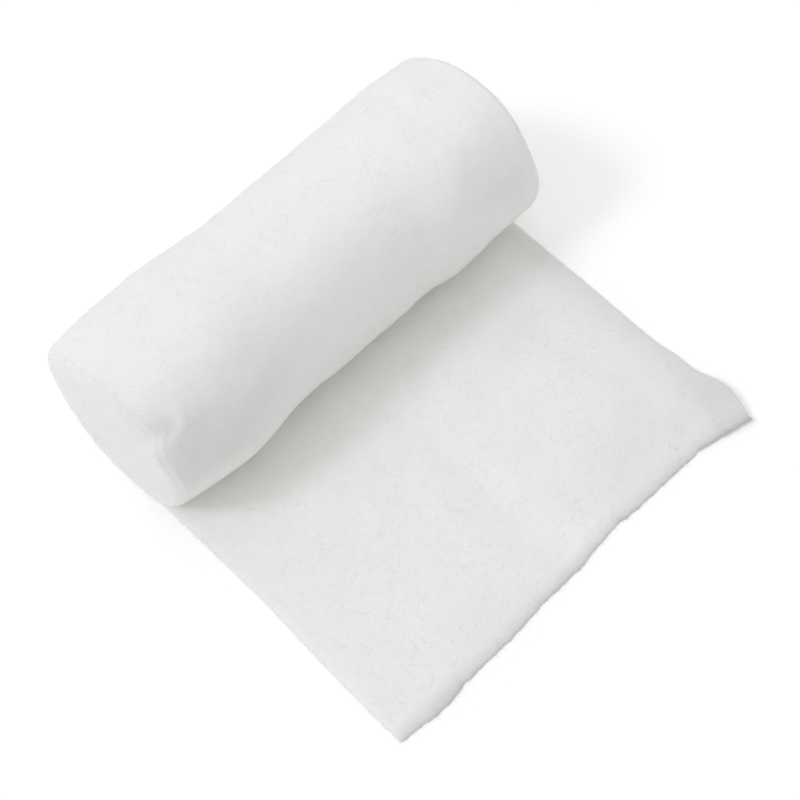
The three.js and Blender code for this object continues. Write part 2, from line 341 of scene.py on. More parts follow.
LOOPED_SHARE = 0.55  # of the fibres, which are loops
LOOSE_POWER = 1.5  # power of the way along a loose fibre with which it rises
ROOT_DEPTH = 0.05  # how deep its root stands in the padding
FIBRE_STEPS = 4
FIBRE_SIDES = 3
FIBRE_TIP = 1 / 3  # radius at its end, as a share of the one at its root

# The padding's pattern: a web of fibres, patches and lumps.
WEB_HEADINGS = (14, 58, 103, 149)  # angles between the strip's width and the web's fibres
WEB_STRETCH = 0.07  # scale of the web along its fibres, as a share of the one across
WEB_LEVELS = (0.5, 0.75)  # levels of its noise between which a fibre rises
PATCH_TONE, LUMP_TONE, WEB_TONE = 0.55, 0.25, 0.2  # their shares of the tone
TONE_LEVELS = (0.25, 0.65)  # tones that have the shade colour and the full colour
SCATTER_TINT = (1.0, 0.98, 0.92)  # how far red, green and blue light travel inside

# The stage, in metres. A light's place is its turn about Z and its height over the floor, in degrees.
FLOOR_RADIUS = 12.0
FLOOR_DROP = 0.0001  # keeps the floor's face clear of the strip's underside
FLOOR_SIDES = 96
FLOOR_RINGS = 24
FLOOR_HUB = 0.02  # radius of the innermost ring, as a share of the floor's
FLOOR_PATCH = 1 / 6  # size of its patches
FLOOR_SHADE = 0.985  # brightness of the darker ones, next to its colour
KEY_PLACE = (156, 50)
BACK_PLACE = (90, 25)
LIGHT_SPREAD = 16  # how wide a light looks from the roll, in degrees
LIGHT_COLOUR = (0.955, 0.96, 1.0)
SKY_COLOUR = (0.98, 0.975, 0.985)
SENSOR_WIDTH = 36.0  # in millimetres
NEAREST, FURTHEST = 0.01, 20.0  # the range that the camera shows


def smoothstep(value, low, high):
    """0 below low, 1 above high, and 3t^2 - 2t^3 between, with t the share of the way."""
    t = np.clip((value - low) / (high - low), 0, 1)
    return t * t * (3 - 2 * t)


def arch(share):
    """Height of the rising half of a parabola at a share of its width: 1 - (1 - share)^2."""
    return 1 - (1 - np.clip(share, 0, 1)) ** 2


def quarter(share):
    """Height of a quarter circle at a share of its width: the root of 1 - (1 - share)^2."""
    return np.sqrt(arch(share))


def bump(one, other):
    """A soft bump, (1 - (a^2 + b^2) / 4)^3: 1 at its middle and nothing past twice its half widths."""
    return np.maximum(1 - (one**2 + other**2) / 4, 0) ** 3


def blend(one, other, share):
    """One value at share 0, the other at share 1, and a straight line between."""
    return one + (other - one) * share


def soft_noise(one, other, size, seed):
    """Soft unevenness of about unit height: a sum of sine waves all ways, none shorter than size."""
    random = np.random.default_rng(seed)
    total = 0
    for _ in range(WAVES):
        heading = random.uniform(0, 2 * math.pi)
        number = 2 * math.pi / (size * random.uniform(1, LONGEST_WAVE))
        phase = random.uniform(0, 2 * math.pi)
        total = total + np.sin(number * (one * math.cos(heading) + other * math.sin(heading)) + phase)
    return total / math.sqrt(WAVES / 2)


def spots(rows, one, other):
    """Height of a table's spots: each is a soft bump with its place, its two half widths and its height."""
    total = 0
    for at_one, at_other, half_one, half_other, height in zip(*rows.values()):
        total = total + height * bump((one - at_one) / half_one, (other - at_other) / half_other)
    return total


def creases(rows, one, other):
    """Height of a table's creases: each is a soft bump across the line from its start to its end."""
    total = 0
    for x, y, to_x, to_y, half_width, height in zip(*rows.values()):
        run, rise = to_x - x, to_y - y
        share = np.clip(((one - x) * run + (other - y) * rise) / (run**2 + rise**2), 0, 1)
        off_one, off_other = one - x - share * run, other - y - share * rise
        total = total + height * bump(off_one / half_width, off_other / half_width)
    return total


def section_loop(columns):
    """One turn round the strip's section, as two arrays: a share across the width and a place through
    the thickness. It runs over the outer side (-1) to the right, round the right edge, back over the
    inner side (1) and round the left edge."""
    even = np.linspace(0, 1, columns + 1)
    across = even - COLUMN_CLOSENESS * np.sin(2 * math.pi * even) / (2 * math.pi)
    edge = np.array(EDGE_THROUGH)
    side, ones = np.ones(columns + 1), np.ones(EDGE_STEPS)
    return (
        np.concatenate([across, ones, across[::-1], 0 * ones]),
        np.concatenate([-side, edge, side, -edge]),
    )


def coarse_places():
    """Places in the fine section's loop that the coarse one keeps: some columns and both edges."""
    loop = np.arange(2 * HALF_LOOP)
    within = loop % HALF_LOOP
    return loop[(within > COLUMNS) | (within % (COLUMNS // COARSE_COLUMNS) == 0)]


class Strip:
    """The padding's sizes in millimetres, and the surfaces that follow from them."""

    def __init__(self, sizes):
        self.half_width = sizes.width / MM / 2
        self.radius = sizes.roll_radius / MM
        self.axis_height = self.radius - sizes.roll_sink / MM
        self.reach = sizes.loose_reach / MM
        self.thickness = sizes.loose_thickness / MM
        self.domes = {-1: sizes.left_dome / MM, 1: sizes.right_dome / MM}
        for name in ("edge_thickness", "twist_pitch", "twist_depth", "turn_groove", "unevenness"):
            setattr(self, name, getattr(sizes, name) / MM)
        core = sizes.core_radius / MM
        wound_length = sizes.length / MM - self.reach
        self.pitch = math.pi * (self.radius**2 - core**2) / wound_length
        self.turn_thickness = self.pitch * (1 - GAP_SHARE)
        self.last_angle = 360 * (self.radius - core - self.turn_thickness) / self.pitch
        self.nip = -math.sqrt(self.radius**2 - (self.axis_height - self.thickness) ** 2)

    def roll_radius(self, x, angle):
        """The radius of the outer turn: the roll's, with its swell, its ridge and hollow and its dimple."""
        back = (1 + np.cos(np.radians(angle - BACK_ANGLE))) / 2
        fade = smoothstep(np.minimum(angle, 360 - angle), EVEN_ANGLE, EVEN_ANGLE + SWELL_FADE)
        radius = self.radius + fade * blend(SWELL["front"](x), SWELL["back"](x), back)
        past = angle - RIDGE["angle"](x)
        hollow = HOLLOW_SHARE * bump(0, (past - HOLLOW_PAST) / RIDGE_HALF_ANGLE)
        radius = radius + RIDGE["height"](x) * (bump(0, past / RIDGE_HALF_ANGLE) - hollow)
        return radius - spots(DIMPLES, x, angle)

    def noise(self, layers, one, other):
        """The unevenness times the sum of some layers of soft noise."""
        return self.unevenness * sum(
            share * soft_noise(one, other, size, seed) for share, size, seed in layers
        )

    def roll_detail(self, x, angle):
        """Creases and soft unevenness of the roll's surface, none where it rests or meets the end."""
        along = self.radius * np.radians(angle)
        rows = dict(ROLL_CREASES)
        for name in ("angle", "to_angle"):
            rows[name] = self.radius * np.radians(rows[name])
        height = creases(rows, x, along) + self.noise(ROLL_NOISE, x, along)
        return height * smoothstep(np.minimum(angle, LAST_ANGLE - angle), 0, DETAIL_FADE)

    def end_place(self, side, angle, depth):
        """The x of an end of the roll at a depth inside the outer surface. The end is a dome with a pit in
        its middle and a groove that winds inwards, one turn for each bundle. Its rim is a quarter circle,
        or a straight slope, or something between."""
        reach = side * (self.half_width + TURN_ENDS[SIDE_NAMES[side]](angle))
        clear = np.clip(np.minimum(angle, LAST_ANGLE - angle) / SWELL_FADE, 0, 1)
        rim = TURN_ENDS["left_rim"](angle) if side < 0 else np.maximum(RIGHT_RIM * clear, UNDER_ROUNDING)
        slope = np.clip(TURN_ENDS["left_slope"](angle), 0, 1) if side < 0 else 0
        share = np.clip(1 - depth / self.radius, 0, 1)
        out = self.domes[side] * (1 - share**2) - CORE_HOLLOW * np.exp(-((share / CORE_SHARE) ** 2))
        wound = angle / 360
        phase = depth / self.twist_pitch - wound
        groove = self.twist_depth * (1 + np.cos(2 * math.pi * phase)) / 2
        formed = wound / GROOVE_TURN + np.maximum(phase - 0.5, 0) / GROOVE_BUNDLE
        out = out - groove * np.clip(formed, 0, 1) * (phase > -0.5)
        within = np.clip(depth / rim, 0, 1)
        inset = rim * blend(1 - quarter(within), 1 - within, slope)
        return blend(side * self.half_width, reach, share**2) + side * (out - inset)

    def free_reach(self, x):
        """How far the free edge lies from under the axis, with its steps and its ragged fibres."""
        reach = self.reach + FREE_EDGE["out"](x)
        for place, depth, half_width in zip(*NOTCHES.values()):
            reach = reach - depth * np.maximum(1 - np.abs(x - place) / half_width, 0) ** 2
        return reach + RAGGED_HEIGHT * soft_noise(x, 0, RAGGED_SIZE, RAGGED_SEED)

    def laid_levels(self, x, y):
        """The heights of the loose end's underside and top. Its sides thin out as quarter circles and its
        free edge as half a parabola. Under the roll it is pressed to the thickness of a wound turn."""
        sides = [self.half_width + LOOSE_SIDES[name](y) - side * x for side, name in SIDE_NAMES.items()]
        from_free = y + self.free_reach(x)
        pressed = smoothstep(y, self.nip, 0)
        full = blend(quarter(np.minimum(*sides) / SIDE_ROUNDING), 1, pressed)
        free = arch(from_free / FREE_ROUNDING)
        edge = blend(FREE_SHARE, 1, free) * self.edge_thickness
        full = full * free
        padding = self.thickness + creases(LOOSE_CREASES, x, y) + self.noise(LOOSE_NOISE, x, y)
        thick = blend(edge, padding + spots(SWELLINGS, x, y), full)
        thick = blend(thick, PRESSED_SHARE * self.turn_thickness, pressed)
        lift = (UNDER_ROUNDING * (1 - full) + spots(LIFTED_PLACES, x, y)) * (1 - pressed)
        return lift, lift + thick

    def laid_shade_and_greying(self, points):
        """How far painted shade and greying darken the loose end, from 0 to 1: a little greying all over, a
        quarter circle of painted shade that rises to the free edge for each band, and a soft bump for each
        place of painted shade."""
        x, y = points[..., 0], points[..., 1]
        from_free = y + self.free_reach(x)
        darkening = LOOSE_END_GREYING + sum(share * (1 - quarter(from_free / width)) for width, share in PAINTED_SHADE_BANDS)
        return (darkening + spots(PAINTED_SHADE_PLACES, x, y)) * (1 - smoothstep(y, self.nip, 0))

    def laid(self, share, across, through):
        """Points of the loose end, at a share of the way from its free edge to under the axis. The
        section lies flat, its outer side down, and both cut edges are rounded."""
        reach = self.free_reach((2 * across - 1) * self.half_width)
        y = -reach * (1 - share)
        left = -self.half_width - LOOSE_SIDES["left"](y)
        right = self.half_width + LOOSE_SIDES["right"](y)
        tip = TIP_ROUNDING * (1 - np.sqrt(1 - through**2))
        x = blend(left + tip, right - tip, across)
        under, top = self.laid_levels(np.clip(x, left + tip, right - tip), y)
        round_free = quarter((y + reach + TIP_BLUNTNESS) / TIP_ROUNDING)
        z = blend(under, top, (1 + through * round_free) / 2)
        return np.stack([x, y, z], axis=-1)

    def turn_depth(self, angle):
        """How far inside the outer surface a turn lies. The outer turn keeps the roll's full radius, so
        the next one steps in under it by one pitch; the step turns into a plain spiral further in."""
        turn = np.floor(angle / 360)
        return self.pitch * (turn + np.minimum(turn / SEAM_TURNS, 1) * (angle / 360 - turn))

    def turn_fill(self, angle):
        """The thickness of a turn, which nearly reaches the next one."""
        return (1 - GAP_SHARE) * (self.turn_depth(angle + 360) - self.turn_depth(angle))

    def wound(self, angle, across, through):
        """Points of the wound strip, at an angle that goes on past 360 for every further turn. A point
        lies on a circle smaller than the outer one in the measure of its depth. Near the surface that
        the roll rests on, it lies no lower than the turns beneath it need."""
        fill = self.turn_fill(angle)
        depth = self.turn_depth(angle) + fill * (1 + through) / 2
        turn = np.floor(angle / 360)
        wrapped = angle - 360 * turn
        tip = self.turn_groove * (1 - np.sqrt(1 - through**2))
        left = self.end_place(-1, wrapped, depth) + tip
        right = self.end_place(1, wrapped, depth) - tip
        x = blend(left, right, across)
        radius = self.roll_radius(x, wrapped) * (1 - depth / self.radius)
        skin = np.clip(1 - depth / fill, 0, 1)
        radius = radius + skin * self.roll_detail(x, wrapped)
        y = radius * np.sin(np.radians(wrapped))
        high = self.axis_height - radius * np.cos(np.radians(wrapped))
        beneath = self.laid_levels(x, np.clip(y, self.nip, 0))[1]
        beneath = np.where(wrapped > 180, beneath * (1 - np.minimum(turn / SEAM_TURNS, 1)), 0)
        z = np.maximum(high, beneath + PRESSED_SHARE * depth)
        return np.stack([x, y, z], axis=-1)


def point_numbers(grid, first=0):
    """The number of each point of a grid of points, counted on from the first one."""
    return first + np.arange(grid[..., 0].size).reshape(grid.shape[:-1])


def ring_quads(numbers):
    """Quads between neighbouring rows of points, where each row is a closed ring."""
    after = np.roll(numbers, -1, axis=-1)
    corners = [numbers[..., :-1, :], numbers[..., 1:, :], after[..., 1:, :], after[..., :-1, :]]
    return np.stack(corners, axis=-1).reshape(-1, 4)


def joining_triangles(fine, coarse, kept):
    """Triangles between a fine ring and a coarse one, whose points stand at the kept places of it."""
    size = len(fine)
    owner = np.searchsorted(kept, np.arange(size), side="right") - 1
    fans = np.stack([fine, coarse[owner], np.roll(fine, -1)], axis=-1)
    gaps = np.stack([coarse, np.roll(coarse, -1), np.roll(fine[kept], -1)], axis=-1)
    return np.concatenate([fans, gaps])


def cap_faces(ring):
    """Faces over a section, from its outer to its inner side: quads, and a triangle at each edge."""
    size = len(ring)
    tip = size - (EDGE_STEPS + 1) // 2
    way = np.arange(size // 2 + 1)
    outer, inner = ring[(tip + way) % size], ring[(tip - way) % size]
    quads = np.stack([outer[1:-2], inner[1:-2], inner[2:-1], outer[2:-1]], axis=-1)
    ends = np.array([[outer[0], inner[1], outer[1]], [outer[-2], inner[-2], outer[-1]]])
    return quads, ends


def add_object(name, data):
    """A new object of the scene that holds the data."""
    made = bpy.data.objects.new(name, data)
    bpy.context.scene.collection.objects.link(made)
    return made


def mesh_object(name, material, points, faces, uv=None, shade_and_greying=None):
    """An object from points in the tables' frame and lists of equal-sided faces, with smooth shading. uv
    holds a place for each point, in metres, and the last argument, for each point, how far painted shade and
    greying darken its colour."""
    mesh = bpy.data.meshes.new(name)
    mesh.materials.append(material)
    mesh.vertices.add(len(points))
    mesh.vertices.foreach_set("co", ((points + np.array(ZERO)) * MM).astype(np.float32).ravel())
    corners = np.concatenate([part.ravel() for part in faces]).astype(np.int32)
    sides = np.concatenate([np.full(len(part), part.shape[1]) for part in faces])
    mesh.loops.add(len(corners))
    mesh.loops.foreach_set("vertex_index", corners)
    mesh.polygons.add(len(sides))
    mesh.polygons.foreach_set("loop_start", (np.cumsum(sides) - sides).astype(np.int32))
    mesh.update(calc_edges=True)
    mesh.polygons.foreach_set("use_smooth", np.ones(len(sides), bool))
    if uv is not None:
        layer = mesh.uv_layers.new(name="strip")
        layer.data.foreach_set("uv", uv[corners].astype(np.float32).ravel())
    if shade_and_greying is not None:
        attribute = mesh.attributes.new("shade_and_greying", "FLOAT", "POINT")
        attribute.data.foreach_set("value", shade_and_greying.astype(np.float32))
    if mesh.validate():
        raise RuntimeError(f"{name}: its mesh had faulty faces")
    return add_object(name, mesh)


def row_angles(rows):
    """The angles of a list of rows, from each start by its step to its end."""
    return np.concatenate([np.arange(*row) for row in rows])


def strip_surface(strip):
    """The whole strip as points, faces and places along it. Fine rows hold the loose end and the outer
    turn, and coarse rows hold the turns inside."""
    across, through = section_loop(COLUMNS)
    kept = coarse_places()
    share = np.linspace(0, 1, LOOSE_STEPS + 1)[:, None] ** LOOSE_CLOSENESS
    laid = strip.laid(share, across, through)
    outer_angles = row_angles(OUTER_ROWS)
    outer = strip.wound(outer_angles[:, None], across, through)
    turn_angles = outer_angles[outer_angles > OUTER_END - 360]
    fine_turns = [turn_angles + 360 * (turn + 1) for turn in range(FINE_TURNS)]
    inner_angles = np.concatenate([*fine_turns, row_angles(INNER_ROWS)])
    inner_angles = inner_angles[inner_angles < strip.last_angle]
    inner = strip.wound(inner_angles[:, None], across[kept], through[kept])
    fine = np.concatenate([laid, outer])
    fine_rings = point_numbers(fine)
    coarse_rings = point_numbers(inner, fine_rings.size)
    free_quads, free_ends = cap_faces(fine_rings[0])
    core_quads, core_ends = cap_faces(coarse_rings[-1])
    quads = [ring_quads(fine_rings), ring_quads(coarse_rings), free_quads[:, ::-1], core_quads]
    triangles = [joining_triangles(fine_rings[-1], coarse_rings[0], kept), free_ends[:, ::-1], core_ends]
    points = np.concatenate([fine.reshape(-1, 3), inner.reshape(-1, 3)])
    middles = np.concatenate([fine.mean(axis=1), inner.mean(axis=1)])
    steps = np.linalg.norm(np.diff(middles, axis=0), axis=1)
    along = np.concatenate([[0], np.cumsum(steps)])
    lengths = np.repeat(along, np.repeat([len(across), len(kept)], [len(fine), len(inner)]))
    # The roll's patches of painted shade, and the loose end's painted shade and greying, darken the colour
    # through a point attribute.
    roll_painted_shade = spots(ROLL_PAINTED_SHADE_PLACES, outer[..., 0], outer_angles[:, None])
    shade_and_greying = [strip.laid_shade_and_greying(laid).ravel(), roll_painted_shade.ravel(), np.zeros(inner[..., 0].size)]
    return {
        "points": points,
        "faces": [np.concatenate(quads), np.concatenate(triangles)],
        "uv": np.stack([points[:, 0], lengths], axis=-1) * MM,
        "shade_and_greying": np.concatenate(shade_and_greying),
        "laid": laid,
        "outer": outer,
        "outer_angles": outer_angles,
        "inner": inner,
        "nip": strip.nip,
    }


class Socket:
    """A shader value. Arithmetic on it adds Math nodes to its tree."""

    def __init__(self, shader, socket):
        self.shader = shader
        self.socket = socket

    def math(self, operation, one, other):
        return self.shader.node("ShaderNodeMath", {"operation": operation}, {0: one, 1: other})[0]

    def __add__(self, other):
        return self.math("ADD", self, other)

    __radd__ = __add__

    def __sub__(self, other):
        return self.math("SUBTRACT", self, other)

    def __rsub__(self, other):
        return self.math("SUBTRACT", other, self)

    def __mul__(self, other):
        return self.math("MULTIPLY", self, other)

    __rmul__ = __mul__

    def largest(self, other):
        return self.math("MAXIMUM", self, other)


class Shader:
    """The node tree of a material or a world. node() adds one node: its type, its settings, then its
    sockets' values or links. The node's outputs come back as sockets, by name or number."""

    def __init__(self, owner):
        owner.use_nodes = True
        self.owner = owner
        self.tree = owner.node_tree
        self.tree.nodes.clear()

    def node(self, kind, settings=None, values=None):
        made = self.tree.nodes.new(kind)
        for name, value in (settings or {}).items():
            setattr(made, name, value)
        for name, value in (values or {}).items():
            if isinstance(value, Socket):
                self.tree.links.new(value.socket, made.inputs[name])
            else:
                made.inputs[name].default_value = value
        outputs = [Socket(self, output) for output in made.outputs]
        return dict(enumerate(outputs)) | {output.socket.name: output for output in outputs}

    def place(self):
        """Object coordinates, which stay on the piece."""
        return self.node("ShaderNodeTexCoord")["Object"]

    def noise(self, vector, size, detail, roughness=0.5):
        values = {"Vector": vector, "Scale": 1 / size, "Detail": detail, "Roughness": roughness}
        return self.node("ShaderNodeTexNoise", None, values)["Fac"]

    def span(self, value, low, high):
        """The value's stretch from low to high, brought to 0 to 1 and held there."""
        return self.node("ShaderNodeMapRange", {"clamp": True}, {"Value": value, 1: low, 2: high})[0]

    def mix_colours(self, share, one, other):
        return self.node("ShaderNodeMix", {"data_type": "RGBA"}, {0: share, 6: one, 7: other})[2]

    def finish(self, values):
        """Ends the material in a Principled surface with these values, and returns it."""
        surface = self.node("ShaderNodeBsdfPrincipled", None, values)["BSDF"]
        self.node("ShaderNodeOutputMaterial", None, {"Surface": surface})
        return self.owner


def opaque(colour):
    """A colour with full cover, as a colour socket takes it."""
    return (*colour, 1)


def padding_material(looks):
    """White wadding: thin and thick patches, small lumps, and a web of fibres that run all ways over
    the strip's own map, which is in metres. Painted shade and a slight greying darken it towards a grey."""
    shader = Shader(bpy.data.materials.new("white_wadding"))
    place = shader.place()
    map_place = shader.node("ShaderNodeUVMap", {"uv_map": "strip"})["UV"]
    patches = shader.noise(place, looks.patch_size, detail=2)
    lumps = shader.noise(place, looks.lump_size, detail=3, roughness=0.55)
    web = 0
    for heading in WEB_HEADINGS:
        turn = (0, 0, math.radians(heading))
        values = {"Vector": map_place, "Rotation": turn, "Scale": (WEB_STRETCH, 1, 1)}
        turned = shader.node("ShaderNodeMapping", None, values)["Vector"]
        strands = shader.noise(turned, looks.fibre_size, detail=1, roughness=0.6)
        web = shader.span(strands, *WEB_LEVELS).largest(web)
    tone = PATCH_TONE * patches + LUMP_TONE * lumps + WEB_TONE * web
    dense = shader.span(tone, *TONE_LEVELS)
    colour = shader.mix_colours(dense, opaque(looks.shade_colour), opaque(looks.colour))
    # Painted shade, and the loose end's slight greying: a point attribute darkens the colour towards a grey.
    darkening = shader.node("ShaderNodeAttribute", {"attribute_name": "shade_and_greying"})["Fac"]
    relief = {"Height": lumps * looks.lump_height + web * looks.fibre_height, "Strength": 1, "Distance": 1}
    return shader.finish({
        "Base Color": shader.mix_colours(darkening, colour, opaque(looks.thin_colour)),
        "Roughness": looks.roughness,
        "Normal": shader.node("ShaderNodeBump", None, relief)["Normal"],
        "Subsurface Weight": looks.scatter,
        "Subsurface Radius": SCATTER_TINT,
        "Subsurface Scale": looks.scatter_depth,
        "Specular IOR Level": 0.15,
        "Sheen Weight": looks.sheen,
        "Sheen Roughness": 0.5,
    })


def fibre_material(looks):
    """The stray fibres' own finish: the padding's colour, a little glossier."""
    shader = Shader(bpy.data.materials.new("white_fibre"))
    tone = shader.noise(shader.place(), looks.lump_size, detail=1)
    colour = shader.mix_colours(tone, opaque(looks.shade_colour), opaque(looks.colour))
    return shader.finish({"Base Color": colour, "Roughness": 0.6, "Specular IOR Level": 0.3})


def floor_material(stage):
    """A pale matt floor, faintly mottled, with a little light of its own."""
    shader = Shader(bpy.data.materials.new("pale_floor"))
    tone = shader.noise(shader.place(), FLOOR_PATCH, detail=1)
    light = opaque(stage.floor_colour)
    dark = opaque(FLOOR_SHADE * part for part in stage.floor_colour)
    return shader.finish({
        "Base Color": shader.mix_colours(tone, dark, light),
        "Roughness": 0.9,
        "Specular IOR Level": 0.1,
        "Emission Color": light,
        "Emission Strength": stage.floor_glow,
    })


def ride_as_padding(piece):
    """Declares a piece as a part of the roll's node."""
    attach(piece, BODY)
    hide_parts(NODE)


def unit(vectors):
    """Each vector, divided by its own length."""
    return vectors / np.linalg.norm(vectors, axis=-1, keepdims=True)


def grid_samples(grid, count, random):
    """Random places on a grid of points, evenly over its area, and the outward normal at each."""
    down = grid[1:, :-1] - grid[:-1, :-1]
    over = grid[:-1, 1:] - grid[:-1, :-1]
    normals = np.cross(down, over)
    area = np.linalg.norm(normals, axis=-1)
    cell = random.choice(area.size, count, p=(area / area.sum()).ravel())
    row, place = np.unravel_index(cell, area.shape)
    one, other = random.random((2, count, 1))
    points = grid[row, place] + one * down[row, place] + other * over[row, place]
    return points, unit(normals[row, place])


def edge_ribbons(grid, columns):
    """The left and the right cut edge of a grid of sections, with the columns that they meet."""
    left = np.concatenate([grid[:, -EDGE_STEPS - 1 :], grid[:, :1]], axis=1)
    return left, grid[:, columns : columns + EDGE_STEPS + 2]


def fibre_beds(surface):
    """Where the stray fibres grow: grids of the strip's surface, by name."""
    laid, outer, angles = surface["laid"], surface["outer"], surface["outer_angles"]
    open_rows = laid[:, HALF_LOOP, 1] < surface["nip"]
    free_rows = laid[:, 0, 1] < laid[0, 0, 1] + FREE_BED
    beds = {"top": laid[open_rows, HALF_LOOP:-EDGE_STEPS], "free": laid[free_rows]}
    for name, (low, high) in (("roll", ROLL_BED), ("front", FRONT_BED)):
        beds[name] = outer[(angles > low) & (angles < high), : COLUMNS + 1]
    inner, open_end = surface["inner"], laid[open_rows]
    edges = ("end", inner, COARSE_COLUMNS), ("rim", outer, COLUMNS), ("side", open_end, COLUMNS)
    for name, grid, columns in edges:
        beds[f"left_{name}"], beds[f"right_{name}"] = edge_ribbons(grid, columns)
    return beds


def fibre_lines(beds, sizes, random):
    """Middle lines of the fibres and the normals at their roots. A fibre runs s times its length along
    the surface, and s^2 times a part of it to one side. It stands off by 4 s (1 - s) times its lift if it
    is a loop, and by a power of s times it if its end is loose, and it stays over what the strip lies on."""
    share = np.linspace(0, 1, FIBRE_STEPS + 1)[:, None]
    lines, normals = [], []
    for name, part, reach, lift, out_x, out_y in FIBRE_BEDS:
        count = round(sizes.count * part)
        roots, normal = grid_samples(beds[name], count, random)
        ahead = random.normal(size=(count, 3)) + np.array([out_x, out_y, 0])
        ahead = unit(ahead - (ahead * normal).sum(axis=1, keepdims=True) * normal)
        aside = np.cross(normal, ahead)
        length = sizes.length / MM * reach * random.uniform(*FIBRE_LENGTHS, (count, 1, 1))
        bend = random.normal(0, FIBRE_BEND, (count, 1, 1))
        height = sizes.lift / MM * lift * random.uniform(*FIBRE_LIFTS, (count, 1, 1))
        looped = random.random((count, 1, 1)) < LOOPED_SHARE
        rise = height * np.where(looped, 4 * share * (1 - share), share**LOOSE_POWER)
        rise = rise - ROOT_DEPTH * (1 - share)
        along = length * (share * ahead[:, None] + bend * share**2 * aside[:, None])
        lines.append(roots[:, None] + along + rise * normal[:, None])
        normals.append(normal)
    lines = np.concatenate(lines)
    lines[..., 2] = np.maximum(lines[..., 2], 2 * sizes.radius / MM)
    return lines, np.concatenate(normals)


def fibre_tubes(lines, normals, radius):
    """Points and faces of one closed tube of a few sides round each line. Its points lie at the radius
    times the cosine and sine of their turn, and the radius falls evenly to the fibre's end."""
    ahead = unit(np.gradient(lines, axis=1))
    side = unit(np.cross(ahead, normals[:, None]))
    upright = np.cross(side, ahead)
    turn = 2 * math.pi * np.arange(FIBRE_SIDES)[:, None] / FIBRE_SIDES
    round_line = np.cos(turn) * side[:, :, None] + np.sin(turn) * upright[:, :, None]
    width = radius * np.linspace(1, FIBRE_TIP, FIBRE_STEPS + 1)
    points = lines[:, :, None] + width[:, None, None] * round_line
    numbers = point_numbers(points)
    ends = np.concatenate([numbers[:, 0], numbers[:, -1, ::-1]])
    return points.reshape(-1, 3), [ring_quads(numbers), ends]


def described(kind, **more):
    """A function that makes properties of one kind from a name, a description and a default."""

    def make(name, description, default):
        return kind(name=name, description=description, default=default, **more)

    return make


whole = described(IntProperty)
amount = described(FloatProperty)
metres = described(FloatProperty, unit="LENGTH")
rotation = described(FloatProperty, subtype="ANGLE")
rgb = described(FloatVectorProperty, subtype="COLOR", min=0, max=1)
point = described(FloatVectorProperty, subtype="XYZ")


class StripSizes(bpy.types.PropertyGroup):
    """Sizes of the padding strip and of the way that it is wound."""

    width: metres("Strip width", "Width of the strip, side to side", 0.150)
    length: metres("Strip length", "Length of the whole strip, laid flat", 2.7)
    roll_radius: metres("Roll radius", "Radius of the outer turn", 0.0312)
    roll_sink: metres("Roll sink", "How much the roll presses its underside flat", 0.0011)
    core_radius: metres("Core radius", "Radius at which the winding starts", 0.0007)
    loose_reach: metres("Loose reach", "From under the roll's axis to the free edge", 0.1216)
    loose_thickness: metres("Loose thickness", "Thickness of the loose end, away from its edges", 0.0022)
    edge_thickness: metres("Edge thickness", "Thickness of the loose end at its sides", 0.0009)
    left_dome: metres("Left dome", "How far the left end stands out in its middle", 0.0045)
    right_dome: metres("Right dome", "How far the right end stands out in its middle", 0.0055)
    twist_pitch: metres("Bundle width", "Radial width of one bundle of turns", 0.0048)
    twist_depth: metres("Bundle groove", "Depth of the groove between two bundles", 0.0001)
    turn_groove: metres("Turn groove", "Depth of the groove between two turns at an end", 0.00002)
    unevenness: metres("Unevenness", "Height of the surface's soft unevenness", 0.00012)


class PaddingLooks(bpy.types.PropertyGroup):
    """Finish of the padding."""

    colour: rgb("Colour", "Colour of the thick padding", (0.903, 0.903, 0.884))
    shade_colour: rgb("Shade colour", "Colour of the less dense patches", (0.873, 0.873, 0.854))
    # Painted shade: the grey that the padding's colour is darkened towards where it stands in for shade, and
    # for the loose end's greying.
    thin_colour: rgb("Thin colour", "Colour where the padding is thinnest", (0.512, 0.512, 0.494))
    roughness: amount("Roughness", "Roughness of the padding", 0.95)
    sheen: amount("Sheen", "Weight of the soft sheen of its fibres", 0.12)
    scatter: amount("Scatter", "Share of light that travels inside", 0.15)
    scatter_depth: metres("Scatter depth", "How far light travels inside", 0.001)
    patch_size: metres("Patch size", "Size of thin and thick patches", 0.018)
    lump_size: metres("Lump size", "Size of the small lumps", 0.0028)
    lump_height: metres("Lump height", "Height of the small lumps", 0.00012)
    fibre_size: metres("Fibre spacing", "Spacing of the web of fibres", 0.0004)
    fibre_height: metres("Fibre height", "Height of the web of fibres", 0.00004)


class FibreSizes(bpy.types.PropertyGroup):
    """Stray fibres that stand off the padding."""

    count: whole("Fibres", "How many stray fibres there are", 7000)
    length: metres("Fibre length", "Usual length of a stray fibre", 0.0035)
    radius: metres("Fibre radius", "Radius of a fibre at its root", 0.00003)
    lift: metres("Fibre lift", "How far a fibre stands off", 0.0004)


class StageSettings(bpy.types.PropertyGroup):
    """Floor, lights and camera."""

    floor_colour: rgb("Floor colour", "Colour of the floor", (0.93, 0.93, 0.918))
    floor_glow: amount("Floor glow", "Light that the floor gives", 0.141)
    key_strength: amount("Key light", "Strength of the main light", 0.654)
    back_strength: amount("Back light", "Strength of the low light behind", 0.204)
    sky_zenith: amount("Light above", "Strength of the light overhead", 1.085)
    sky_horizon: amount("Light around", "Strength of the level light", 0.2185)
    azimuth: rotation("Camera azimuth", "Turn of the view about Z", math.radians(-35.98))
    elevation: rotation("Camera elevation", "Height of the view over the floor", math.radians(62.04))
    roll: rotation("Camera roll", "Turn of the picture about the view", math.radians(-8.92))
    distance: metres("Camera distance", "From the camera to the point that it looks at", 0.5077)
    target: point("Camera target", "Point on the floor that the camera looks at", (0.0013, 0.0055, 0))
    lens: amount("Lens", "Focal length in millimetres", 72.0)


